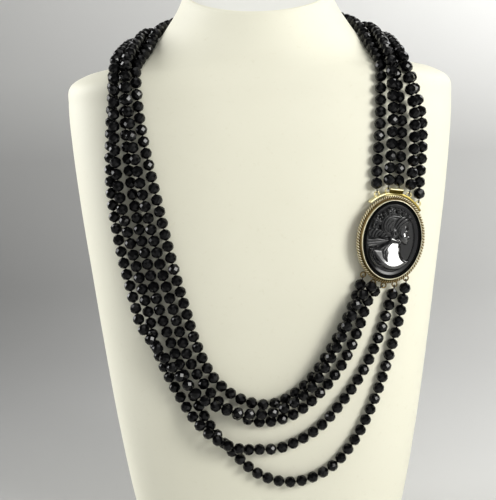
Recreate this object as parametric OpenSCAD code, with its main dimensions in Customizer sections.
// Five strings of small round beads that meet in an oval cameo box clasp, worn with the clasp
// at one side of the chest and laid out on a plain display bust.
// Units are millimetres. +Z is up, the bust stands on z = 0 and its front faces -Y.

/* [Display bust] */
// Width across the shoulders
shoulder_width = 208; // [190:1:230]
// Height of the middle of the neck's slanted rim
bust_height = 304; // [280:1:330]
// Depth of the chest, front to back
chest_depth = 95; // [85:1:110]
// Slant of the neck's top, lower at the front, in degrees
neck_slant = 21; // [0:1:26]
// Width of the raised rim round the neck's top
rim_width = 2; // [1:0.5:4]
// Depth of the recess inside the rim
rim_depth = 4.5; // [3:0.5:8]
// Thickness of the plate that closes the neck
cap_thickness = 2; // [1:0.5:3]

/* [Strings] */
// Diameter of a bead
bead_diameter = 5.9; // [5:0.1:6.5]
// Gap between neighbouring beads of one string
bead_gap = 0.2; // [0.15:0.05:0.4]
// Diameter of the hole through a bead
bead_bore = 1.3; // [1:0.1:1.6]
// Diameter of the thread
thread_diameter = 0.5; // [0.4:0.1:0.7]
// Gap between the lowest beads and the bust
skin_gap = 0.2; // [0.1:0.05:0.4]
// From the middle of a clasp ring to the middle of the first bead
ring_to_bead = 5.6; // [5.4:0.1:6.4]

/* [Clasp] */
// Height of the cameo stone
stone_height = 40; // [36:1:44]
// Width of the cameo stone
stone_width = 31; // [26:1:34]
// Thickness of the stone at its edge
stone_edge = 2.2; // [1.5:0.1:3]
// Width of the gold border round the stone
border_width = 3; // [2.5:0.1:4]
// Depth of the clasp's box, below the stone
box_depth = 5.4; // [4.5:0.1:7]
// Sheet thickness of the box
box_sheet = 0.9; // [0.6:0.1:1.2]
// Place of the clasp's middle to the side of the chest
clasp_side = 65; // [50:1:70]
// Height of the clasp's middle above the bust's base
clasp_height = 172; // [150:0.5:190]
// How far the clasp turns to the side with the chest, in degrees
clasp_turn = 12; // [10:1:22]
// Lean of the oval in the plane of the chest, in degrees
clasp_lean = 8; // [0:1:15]
// Diameter of a ring's middle line
ring_diameter = 2.6; // [2.2:0.1:3.2]
// Diameter of the ring wire
ring_wire = 0.8; // [0.6:0.1:1]

/* [Hidden] */
$fn = 48;
tiny = 0.01;

// The tables and routes below are drawn for a bust of this width, depth and height.
DRAWN = [208, 95, 304];
stretch = [shoulder_width / DRAWN.x, chest_depth / DRAWN.y, bust_height / DRAWN.z];

// Cross-sections of the bust. The outline of one is |x / half width|^n + |y / depth|^n = 1.
SECTIONS = [
    // height, half width, front depth, back depth, n
    [0, 71, 40, 34, 2.8],
    [30, 77.5, 44, 36, 2.9],
    [70, 84, 49, 38, 3],
    [110, 89.5, 52, 40, 3],
    [150, 94.5, 54, 41, 3],
    [190, 99.5, 53, 42, 3],
    [225, 103, 50, 43, 2.9],
    [244, 104, 47, 43, 2.8],
    [254, 102.5, 46, 43, 2.7],
    [260, 92, 45, 43, 2.5],
    [264, 76, 44.5, 43, 2.3],
    [270, 62.5, 44, 42.5, 2.1],
    [278, 54, 42.5, 41.5, 2],
    [286, 48, 41, 40, 2],
    [294, 43, 39.5, 39, 2],
    [302, 40, 38.5, 38.5, 2],
    [324, 39, 38, 38, 2],
];
WIDE = 1;
FRONT = 2;
BACK = 3;
POWER = 4;
bust_sides = 48;
// Heights of the loft's rings on the bust's middle line; the slant of the neck's top grows
// from slant_start upward.
LEVELS = [1, 30, 60, 90, 120, 150, 180, 205, 225, 240, 249, 254, 257, 260, 262, 264, 265.5, 267,
    269, 271, 273.5, 276, 279.5, 283, 290, 297, 304];
slant_start = 264;
// How much smaller the rounded lowest edge is than the ring above it, across and deep.
base_edge = [0.985, 0.97];
cap_side_gap = 0.2;
seat_gap = 0.1;

// The strings lie side by side from the clasp over one shoulder, round the neck and down the
// other side. This is the innermost one's line there; squeeze 1 is side by side, and where it
// is less, every other string rides up on its neighbours.
SHARED_LINE = [
    // x, y, z, squeeze
    [58.5, -52, 206, 0.94],
    [60, -50, 222, 0.94],
    [61.2, -47, 238, 0.86],
    [61.3, -43, 252, 0.7],
    [60.5, -33, 263, 0.55],
    [58, -20, 272, 0.6],
    [54, -4, 281, 0.77],
    [51.3, 5, 284.4, 0.95],
    [47.6, 14, 287, 1.05],
    [36, 29, 291, 1.06],
    [19, 38, 293, 1],
    [0, 41, 294, 1],
    [-19, 38, 293, 1],
    [-36, 29, 290, 1.06],
    [-47.8, 14, 286, 1.03],
    [-51.6, 6, 283.8, 0.94],
    [-54.5, -3, 281, 0.78],
    [-59.5, -19, 274, 0.61],
    [-62.8, -33, 264, 0.53],
    [-63.4, -42, 254, 0.5],
    [-63, -46, 242, 0.56],
    [-60.8, -49, 226, 0.7],
    [-57.7, -51, 210, 0.86],
    [-54.2, -53, 193, 0.96],
    [-50.5, -54, 175, 1],
    [-46.5, -55, 157, 1],
];

// From there each string crosses the chest on its own way to its lower ring. Lift is how far
// it rides above the bust, in bead spacings: 1 where it crosses over another string.
ROUTE_A = [
    // x, z, lift
    [-41.5, 139, 0],
    [-36.5, 120, 0],
    [-28.5, 102, 0],
    [-15, 90, 0],
    [2, 86.5, 0],
    [19, 96, 0],
    [31, 112, 0],
    [41, 130, 0],
    [47.5, 146, 0],
];
ROUTE_B = [
    [-66, 140, 0.36],
    [-62, 131, 0.92],
    [-54, 118.5, 1.05],
    [-45, 105.5, 1],
    [-32.5, 91.5, 1],
    [-15, 84, 0.92],
    [4, 84.5, 0.95],
    [20, 95, 1],
    [31, 111, 1],
    [39.5, 128, 1],
    [46, 142, 0.95],
    [52, 148, 0.95],
];
ROUTE_C = [
    [-47.5, 137.5, 0],
    [-41, 113, 0],
    [-32.5, 97, 0],
    [-22, 85, 0],
    [-6, 77, 0],
    [12, 80, 0],
    [27, 92, 0],
    [39, 107.5, 0],
    [47, 125, 0],
    [53, 142, 0],
];
ROUTE_D = [
    [-60, 134, 0],
    [-57.5, 119, 0],
    [-51, 102, 0],
    [-43, 86.5, 0.1],
    [-36, 78, 0.75],
    [-27, 70, 1],
    [-17, 65, 0.95],
    [-7, 62, 0.15],
    [7, 62.5, 0],
    [24.5, 71.5, 0],
    [38, 86, 0],
    [49, 102, 0],
    [57, 119, 0],
    [63, 137, 0],
];
ROUTE_E = [
    [-54, 135.5, 0],
    [-49, 119, 0],
    [-43, 102, 0],
    [-37, 88, 0],
    [-30, 74, 0],
    [-19, 60, 0],
    [-5, 47, 0],
    [12.5, 42.5, 0],
    [30.5, 49, 0],
    [43.5, 63, 0],
    [52.5, 80, 0],
    [59.5, 98.5, 0],
    [65, 117, 0],
    [69.5, 135, 0],
];
// A string's place in the shared line, counted from the innermost, its upper ring and its
// lower ring, counted from the middle of the chest, and its own route.
STRING_A = [0, 0, 0, ROUTE_A];
STRING_B = [4, 4, 1, ROUTE_B];
STRING_C = [1, 1, 2, ROUTE_C];
STRING_D = [3, 3, 3, ROUTE_D];
STRING_E = [2, 2, 4, ROUTE_E];

line_gap = 0.5;
spacing = bead_diameter + line_gap;
pitch = bead_diameter + bead_gap;
ride = bead_diameter / 2 + skin_gap;
ride_up_share = 1.08;
ride_up = ride_up_share * spacing;
spline_steps = 6;
thread_sides = 4;
tube_sides = 8;
tube_step = 7;
// A tube's diameter as a share of a bead's, to stay clear of its neighbours between stations.
tube_share = 0.93;
tube_taper = 0.1;
// The thread's stations lie inside a bead at this share of its diameter from its middle.
in_bead_share = 0.49;
// The thread's loop: its gap to the ring's wire, then how far its end and its way out reach
// along the string and away from the chest.
loop_gap = 0.15;
loop_end = [0.6, 0.15];
loop_exit = [0.8, 0.5];

frame_wide = stone_width / 2 + border_width;
frame_high = stone_height / 2 + border_width;
ring_height = 3.4;
ring_count = 5;
upper_ring_step = 5;
upper_ring_shift = 1.6;
upper_ring_reach = 2.2;
lower_ring_step = 5.4;
lower_ring_shift = 0;
lower_ring_reach = 1.3;
clasp_lift = 0.7;

rope_radius = 0.95;
rope_lobe = 0.28;
rope_seat = 0.35;
rope_turns = 26;
rope_stations = 104;
rope_sides = 6;
// The box stands in from the rope's edge; the lip stands round the stone.
wall_inset = 0.3;
box_wide = frame_wide - wall_inset;
box_high = frame_high - wall_inset;
lip_height = 1.1;
lip_thickness = 0.85;
lip_gap = 0.15;

// The clasp's tongue: a folded spring, the bar that carries the upper rings and the thumb tab.
tongue_width = 11;
tongue_length = 15;
tongue_sheet = 0.5;
tongue_spread = 2;
tongue_height = box_depth / 2 - tongue_spread / 2 - tongue_sheet;
slot_gap = 0.2;
bar_gap = 0.2;
bar_thickness = 1.1;
bar_low = 1.1;
bar_height = 4.2;
// The bar reaches this far to the left, to the right and down, in shares of the oval's halves.
bar_left = 0.68;
bar_right = 0.72;
bar_start = 0.55;
tab_width = 7.3;
tab_depth = 3.3;
tab_seat = 0.2;
tab_bottom = 4.75;
tab_top = 6.4;

// The bust's surface

function row_slope(i) =
    let (
        low = SECTIONS[max(i - 1, 0)],
        high = SECTIONS[min(i + 1, len(SECTIONS) - 1)]
    )
    (high - low) / (high[0] - low[0]);

// The cross-section at a height, on smooth curves through the table's rows.
function section(z) =
    let (
        top = SECTIONS[len(SECTIONS) - 1][0],
        level = min(max(z / stretch.z, 0), top - tiny),
        i = max([for (j = [0:len(SECTIONS) - 2]) if (SECTIONS[j][0] <= level) j]),
        a = SECTIONS[i],
        b = SECTIONS[i + 1],
        rise = b[0] - a[0],
        t = (level - a[0]) / rise
    )
    a * (1 + 2 * t) * pow(1 - t, 2) + b * t * t * (3 - 2 * t)
        + row_slope(i) * rise * t * pow(1 - t, 2) - row_slope(i + 1) * rise * t * t * (1 - t);

// 0 on the surface, more outside and less inside.
function outside(p) =
    let (
        s = section(p.z),
        across = abs(p.x) / (s[WIDE] * stretch.x),
        deep = abs(p.y) / ((p.y < 0 ? s[FRONT] : s[BACK]) * stretch.y)
    )
    pow(pow(across, s[POWER]) + pow(deep, s[POWER]), 1 / s[POWER]) - 1;

function slope(p, here) =
    [
        outside(p + [tiny, 0, 0]) - here,
        outside(p + [0, tiny, 0]) - here,
        outside(p + [0, 0, tiny]) - here
    ] / tiny;

// The point of the surface under p, by Newton steps along the slope.
function foot(p, steps = 4) =
    steps == 0 ? p :
    let (
        here = outside(p),
        g = slope(p, here)
    )
    foot(p - g * here / (g * g), steps - 1);

function unit(v) = v / norm(v);

function skin_normal(f) = unit(slope(f, outside(f)));

// The point of the surface in the direction of an angle from the front, at a height.
function skin_point(angle, z) =
    let (
        s = section(z),
        deep = (cos(angle) > 0 ? s[FRONT] : s[BACK]) * stretch.y,
        across = s[WIDE] * stretch.x,
        n = s[POWER],
        reach = pow(pow(abs(sin(angle)) / across, n) + pow(abs(cos(angle)) / deep, n), -1 / n)
    )
    [reach * sin(angle), -reach * cos(angle), z];

function slant_at(level) =
    tan(neck_slant) * min(max((level - slant_start) / (DRAWN.z - slant_start), 0), 1);

function loft_point(angle, level) =
    skin_point(angle, level * stretch.z - cos(angle) * SECTIONS[len(SECTIONS) - 1][FRONT]
        * stretch.y * slant_at(level));

// A closed skin over rings of points, each with the same number, and a fan on both ends.
module loft(rings) {
    count = len(rings[0]);
    last = len(rings) - 1;
    points = concat(
        [for (ring = rings) each ring],
        [centre_of(rings[0]), centre_of(rings[last])]
    );
    sides = [
        for (r = [0:last - 1], i = [0:count - 1])
            let (
                a = r * count + i,
                b = r * count + (i + 1) % count
            )
            each [[a, a + count, b], [b, a + count, b + count]]
    ];
    bottom = [for (i = [0:count - 1]) [i, (i + 1) % count, (last + 1) * count]];
    top = [for (i = [0:count - 1])
        [last * count + (i + 1) % count, last * count + i, (last + 1) * count + 1]];
    polyhedron(points, concat(sides, bottom, top));
}

function centre_of(ring) = [for (p = ring) 1 / len(ring)] * ring;

// A smaller copy of a ring, moved in by a width and down by a depth.
function inset(ring, width, depth) =
    let (c = centre_of(ring))
    [for (p = ring) p + unit([c.x - p.x, c.y - p.y, c.z - p.z]) * width - [0, 0, depth]];

function loft_ring(level) =
    [for (i = [0:bust_sides - 1]) loft_point(360 * i / bust_sides, level)];

rim_ring = loft_ring(DRAWN.z);

// The clasp's own frame: x across, y up the oval and z out of the chest

clasp_foot = foot([clasp_side * stretch.x, -SECTIONS[4][FRONT] * stretch.y,
    clasp_height * stretch.z]);
clasp_out = [sin(clasp_turn), -cos(clasp_turn), 0];
clasp_across = [cos(clasp_turn), sin(clasp_turn), 0];

function clasp_point(p) =
    clasp_foot + clasp_out * (p.z + clasp_lift)
        + clasp_across * (p.x * cos(clasp_lean) + p.y * sin(clasp_lean))
        + [0, 0, p.y * cos(clasp_lean) - p.x * sin(clasp_lean)];

module in_clasp() {
    translate(clasp_foot + clasp_out * clasp_lift)
        rotate([90, 0, clasp_turn])
        rotate([0, 0, -clasp_lean])
        children();
}

// The outline's point above x, moved out of the outline by a reach.
function beside_frame(x, reach) =
    let (
        y = frame_high * sqrt(1 - pow(x / frame_wide, 2)),
        out = unit([x / pow(frame_wide, 2), y / pow(frame_high, 2)])
    )
    [x, y] + out * reach;

function upper_ring(i) =
    let (at = beside_frame((i - 2) * upper_ring_step + upper_ring_shift, upper_ring_reach))
    [at.x, at.y, ring_height];

function lower_ring(i) =
    let (at = beside_frame((i - 2) * lower_ring_step + lower_ring_shift, lower_ring_reach))
    [at.x, -at.y, ring_height];

// The strings' lines

function tangent(points, i) =
    unit(points[min(i + 1, len(points) - 1)] - points[max(i - 1, 0)]);

// Points of the surface beside a line of points on it.
function beside(feet, squeeze) =
    [for (i = [0:len(feet) - 1])
        let (n = skin_normal(feet[i]))
        foot(feet[i] + n * ride + cross(tangent(feet, i), n) * spacing * squeeze[i])];

squeeze = [for (row = SHARED_LINE) row[3]];
line_0 = [for (row = SHARED_LINE)
    foot([row.x * stretch.x, row.y * stretch.y, row.z * stretch.z])];
line_1 = beside(line_0, squeeze);
line_2 = beside(line_1, squeeze);
line_3 = beside(line_2, squeeze);
line_4 = beside(line_3, squeeze);
shared_lines = [line_0, line_1, line_2, line_3, line_4];

function with_lift(p, lift) = [p.x, p.y, p.z, lift];

// Strings 1 and 3 ride up where the lines are squeezed together.
function shared_part(place) =
    [for (i = [0:len(squeeze) - 1])
        with_lift(shared_lines[place][i],
            place % 2 == 0 ? 0 : ride_up * sqrt(max(1 - pow(squeeze[i], 2), 0)))];

function own_part(route) =
    [for (row = route)
        let (
            x = row.x * stretch.x,
            z = row.y * stretch.z,
            s = section(z),
            side = pow(abs(x) / (s[WIDE] * stretch.x), s[POWER])
        )
        [x, -s[FRONT] * stretch.y * pow(1 - side, 1 / s[POWER]), z, row[2] * spacing]];

function ring_part(centre) =
    let (f = foot(centre))
    [with_lift(f, norm(centre - f) - ride)];

function blend(a, b, c, d, t) =
    (2 * b + (c - a) * t + (2 * a - 5 * b + 4 * c - d) * t * t
        + (3 * b - a - 3 * c + d) * t * t * t) / 2;

// A smooth curve through all rows.
function curve(rows) =
    let (
        last = len(rows) - 1,
        all = concat([2 * rows[0] - rows[1]], rows, [2 * rows[last] - rows[last - 1]])
    )
    concat(
        [for (i = [0:last - 1], s = [0:spline_steps - 1])
            blend(all[i], all[i + 1], all[i + 2], all[i + 3], s / spline_steps)],
        [rows[last]]
    );

function on_bust(row) =
    let (
        f = foot([row.x, row.y, row.z], 3),
        n = skin_normal(f)
    )
    [f + n * (ride + max(row[3], 0)), n];

// The middle line of a string, as pairs of a point and the direction away from the bust.
function string_line(string) =
    let (
        first = clasp_point(upper_ring(string[1])),
        final = clasp_point(lower_ring(string[2])),
        rows = curve(concat(ring_part(first), shared_part(string[0]), own_part(string[3]),
            ring_part(final))),
        middle = [for (i = [1:len(rows) - 2]) on_bust(rows[i])]
    )
    concat([[first, clasp_out]], middle, [[final, clasp_out]]);

function lengths(line) =
    [for (i = 0, s = 0; i < len(line);
        s = s + (i + 1 < len(line) ? norm(line[i + 1][0] - line[i][0]) : 0), i = i + 1) s];

// The pair at a distance along a line.
function along(line, far, s) =
    let (
        i = min(max([for (j = [0:len(far) - 1]) if (far[j] <= s) j]), len(far) - 2),
        t = (s - far[i]) / (far[i + 1] - far[i])
    )
    line[i] + (line[i + 1] - line[i]) * t;

// Pairs at equal steps of at least a pitch, from one distance to another.
function spread(line, far, from, to, step) =
    let (count = floor((to - from) / step))
    [for (i = [0:count]) along(line, far, from + (to - from) * i / count)];

function bead_places(line) =
    let (far = lengths(line))
    spread(line, far, ring_to_bead, far[len(far) - 1] - ring_to_bead, pitch);

function pair_points(pairs) = [for (pair = pairs) pair[0]];

// Beads, threads and tubes

module along_axis(point, axis) {
    translate(point)
        rotate([0, acos(axis.z), atan2(axis.y, axis.x)])
        children();
}

module bead() {
    difference() {
        sphere(d = bead_diameter);
        cylinder(d = bead_bore, h = 2 * bead_diameter, center = true);
    }
}

module beads(string) {
    points = pair_points(bead_places(string_line(string)));
    for (i = [0:len(points) - 1]) {
        along_axis(points[i], tangent(points, i))
            bead();
    }
}

// A tube through stations of a point, a direction across the tube and a radius.
module sweep(stations, sides) {
    points = pair_points(stations);
    loft([for (i = [0:len(stations) - 1])
        let (
            u = stations[i][1],
            v = unit(cross(tangent(points, i), u))
        )
        [for (k = [0:sides - 1])
            points[i] + (u * cos(360 * k / sides) + v * sin(360 * k / sides)) * stations[i][2]]]);
}

// The thread's loop round the wire of a ring: it comes from below, passes through the ring
// and leaves toward the first bead. Reversed, it is the loop at the other end.
function hook(centre, first_bead, across) =
    let (
        plain = first_bead - centre,
        toward = unit(plain - clasp_out * (plain * clasp_out)),
        wire = centre + toward * ring_diameter / 2,
        bend = (ring_wire + thread_diameter) / 2 + loop_gap,
        r = thread_diameter / 2
    )
    concat(
        [[wire + toward * loop_end.x - clasp_out * (bend - loop_end.y), across, r]],
        [for (a = [270:-45:90])
            [wire + (toward * cos(a) + clasp_out * sin(a)) * bend, across, r]],
        [[wire + toward * loop_exit.x + clasp_out * loop_exit.y, across, r]]
    );

function reversed(list) = [for (i = [len(list) - 1:-1:0]) list[i]];

// Both loops and, between them, the stations that lie inside the beads or in the tube.
function threaded(line, middle) =
    let (
        places = bead_places(line),
        last = len(places) - 1,
        start = line[0][0],
        end = line[len(line) - 1][0],
        start_across = unit(cross(places[0][0] - start, clasp_out)),
        end_across = unit(cross(end - places[last][0], clasp_out))
    )
    concat(
        hook(start, places[0][0], start_across),
        middle,
        reversed(hook(end, places[last][0], end_across))
    );

module thread(string) {
    line = string_line(string);
    places = bead_places(line);
    points = pair_points(places);
    in_bead = in_bead_share * bead_diameter;
    middle = [for (i = [0:len(points) - 1])
        let (
            axis = tangent(points, i),
            across = unit(cross(axis, places[i][1]))
        )
        each [for (s = [-in_bead, in_bead])
            [points[i] + axis * s, across, thread_diameter / 2]]];
    sweep(threaded(line, middle), thread_sides);
}

// A plain string: a tube about as thick as the beads, with the thread's loop at both ends.
module tube(string) {
    line = string_line(string);
    far = lengths(line);
    total = far[len(far) - 1];
    inner = ring_to_bead - bead_diameter / 2;
    body = spread(line, far, inner, total - inner, tube_step);
    points = pair_points(body);
    last = len(body) - 1;
    wide = [for (i = [0:last])
        [points[i], unit(cross(tangent(points, i), body[i][1])),
            tube_share * bead_diameter / 2]];
    start = along(line, far, inner - tube_taper);
    end = along(line, far, total - inner + tube_taper);
    middle = concat(
        [[start[0], wide[0][1], thread_diameter / 2]],
        wide,
        [[end[0], wide[last][1], thread_diameter / 2]]
    );
    sweep(threaded(line, middle), tube_sides);
}

// The cameo stone. Its raised picture is built of domes in the oval's own directions: a
// generic lady's head and shoulders in profile, with gathered hair, flowers and a veil.

DOMES = [
    // x, y, half width, half height, turn, height
    [2, -10.5, 9.5, 5.6, 8, 1.7],
    [2.6, -4.2, 2.9, 5.5, -12, 2],
    [4.2, 4.2, 4.6, 6.2, 8, 2.7],
    [6, 0.6, 2.6, 2.3, 20, 2.2],
    [8.7, 3.2, 1, 1.2, 30, 1.7],
    [-0.5, 7, 5.6, 6, -20, 3],
    [2.8, 11, 5.6, 2.8, 12, 2.8],
    [-4.6, 3.6, 3.4, 4.4, 0, 2.7],
    [-1.3, 13.6, 2.8, 2.6, 0, 3.2],
    [-7.6, 9.8, 2.9, 2.7, 0, 2.9],
    [0.6, 3, 1.7, 1.8, 0, 3.1],
    [-8, 1.2, 4.2, 2.2, 20, 2.3],
    [-6.5, -4.5, 6, 2.6, 35, 1.9],
];
// The stone's width and height that the domes are drawn for.
DRAWN_STONE = [30, 40];
relief_rings = 20;
relief_sides = 60;
border_start = 0.84;
border_crest = 0.92;
border_rise = 0.9;

function dome_height(dome, x, y) =
    let (
        dx = x - dome[0],
        dy = y - dome[1],
        u = (dx * cos(dome[4]) + dy * sin(dome[4])) / dome[2],
        v = (dy * cos(dome[4]) - dx * sin(dome[4])) / dome[3]
    )
    dome[5] * sqrt(max(1 - u * u - v * v, 0));

function border_height(rho) =
    border_rise * max(0, 1 - abs(rho - border_crest) / (border_crest - border_start));

function relief(rho, x, y) =
    rho > border_start ? border_height(rho) :
    max([for (dome = DOMES) dome_height(dome, x, y)]);

function stone_ring(rho) =
    [for (i = [0:relief_sides - 1])
        let (
            x = rho * stone_width / 2 * cos(360 * i / relief_sides),
            y = rho * stone_height / 2 * sin(360 * i / relief_sides),
            drawn_x = x * DRAWN_STONE.x / stone_width,
            drawn_y = y * DRAWN_STONE.y / stone_height
        )
        [x, y, stone_edge + relief(rho, drawn_x, drawn_y)]];

function flat_ring(z) =
    [for (i = [0:relief_sides - 1])
        [stone_width / 2 * cos(360 * i / relief_sides),
            stone_height / 2 * sin(360 * i / relief_sides), z]];

module oval(wide, high) {
    scale([1, high / wide])
        circle(r = wide);
}

module oval_wall(wide, high, thickness) {
    difference() {
        oval(wide, high);
        oval(wide - thickness, high - thickness);
    }
}

module ring_loop() {
    rotate_extrude()
        translate([ring_diameter / 2, 0])
        circle(d = ring_wire);
}

// Sub-parts

module bust() {
    color("ivory")
        loft(concat(
            [[for (p = loft_ring(0)) [p.x * base_edge.x, p.y * base_edge.y, 0]]],
            [for (level = LEVELS) loft_ring(level)],
            [inset(rim_ring, rim_width, 0), inset(rim_ring, rim_width, rim_depth)]
        ));
}

module neck_cap() {
    lower = inset(rim_ring, rim_width + cap_side_gap, rim_depth - seat_gap);
    color("white")
        loft([lower, [for (p = lower) p + [0, 0, cap_thickness]]]);
}

module cameo_stone() {
    color("dimgray")
        in_clasp()
        translate([0, 0, box_depth + seat_gap])
        loft(concat(
            [flat_ring(0)],
            [for (k = [relief_rings:-1:1]) stone_ring(k / relief_rings)]
        ));
}

// One twisted rope round the oval, as a tube whose section has two lobes that turn.
module rope() {
    stations = [for (i = [0:rope_stations - 1])
        let (
            a = 360 * i / rope_stations,
            middle = [(frame_wide - rope_radius) * cos(a), (frame_high - rope_radius) * sin(a),
                box_depth + rope_seat * rope_radius],
            out = unit([cos(a) / frame_wide, sin(a) / frame_high, 0])
        )
        [for (k = [0:rope_sides - 1])
            let (
                b = 360 * k / rope_sides,
                r = rope_radius - rope_lobe + rope_lobe * cos(2 * b + a * rope_turns)
            )
            middle + out * r * cos(b) + [0, 0, r * sin(b)]]];
    count = rope_sides;
    faces = [for (i = [0:rope_stations - 1], k = [0:count - 1])
        let (
            a = i * count + k,
            b = i * count + (k + 1) % count,
            c = ((i + 1) % rope_stations) * count + k,
            d = ((i + 1) % rope_stations) * count + (k + 1) % count
        )
        each [[a, b, c], [b, d, c]]];
    polyhedron([for (ring = stations) each ring], faces);
}

module cameo_frame() {
    color("goldenrod")
        in_clasp() {
            difference() {
                linear_extrude(box_depth)
                    oval(box_wide, box_high);
                translate([0, 0, box_sheet])
                    linear_extrude(box_depth - 2 * box_sheet)
                    oval(box_wide - box_sheet, box_high - box_sheet);
                // The slot that the tongue slides in through
                translate([-tongue_width / 2 - slot_gap, frame_high / 2,
                    tongue_height - slot_gap])
                    cube([tongue_width + 2 * slot_gap, frame_high,
                        tongue_spread + 2 * (tongue_sheet + slot_gap)]);
            }
            translate([0, 0, box_depth - tiny])
                linear_extrude(stone_edge + lip_height)
                oval_wall(stone_width / 2 + lip_gap + lip_thickness,
                    stone_height / 2 + lip_gap + lip_thickness, lip_thickness);
            rope();
            for (i = [0:ring_count - 1]) {
                translate(lower_ring(i))
                    ring_loop();
            }
        }
}

module clasp_tongue() {
    color("gold")
        in_clasp() {
            // The bar that follows the oval's upper edge and carries the rings
            intersection() {
                translate([0, 0, bar_low])
                    linear_extrude(bar_height)
                    oval_wall(frame_wide + bar_gap + bar_thickness,
                        frame_high + bar_gap + bar_thickness, bar_thickness);
                translate([-frame_wide * bar_left, frame_high * bar_start, 0])
                    cube([frame_wide * (bar_left + bar_right), frame_high, tab_top]);
            }
            for (i = [0:ring_count - 1]) {
                translate(upper_ring(i))
                    ring_loop();
            }
            // The two leaves of the folded spring, joined at the far end
            for (z = [tongue_height, tongue_height + tongue_spread + tongue_sheet]) {
                translate([-tongue_width / 2, frame_high - tongue_length, z])
                    cube([tongue_width, tongue_length + bar_gap + bar_thickness / 2,
                        tongue_sheet]);
            }
            translate([-tongue_width / 2, frame_high - tongue_length, tongue_height])
                cube([tongue_width, tongue_sheet, tongue_spread + 2 * tongue_sheet]);
            // The thumb tab
            translate([-tab_width / 2, frame_high + bar_gap + tab_seat, tab_bottom])
                cube([tab_width, tab_depth, tab_top - tab_bottom]);
        }
}

module strand_a() {
    color("black")
        tube(STRING_A);
}

module strand_b() {
    color("black")
        tube(STRING_B);
}

module strand_c() {
    color("black")
        tube(STRING_C);
}

module strand_d() {
    color("black")
        beads(STRING_D);
}

module strand_e() {
    color("black")
        beads(STRING_E);
}

module thread_d() {
    color("dimgray")
        thread(STRING_D);
}

module thread_e() {
    color("dimgray")
        thread(STRING_E);
}

bust();
neck_cap();
cameo_stone();
cameo_frame();
clasp_tongue();
strand_a();
strand_b();
strand_c();
strand_d();
strand_e();
thread_d();
thread_e();
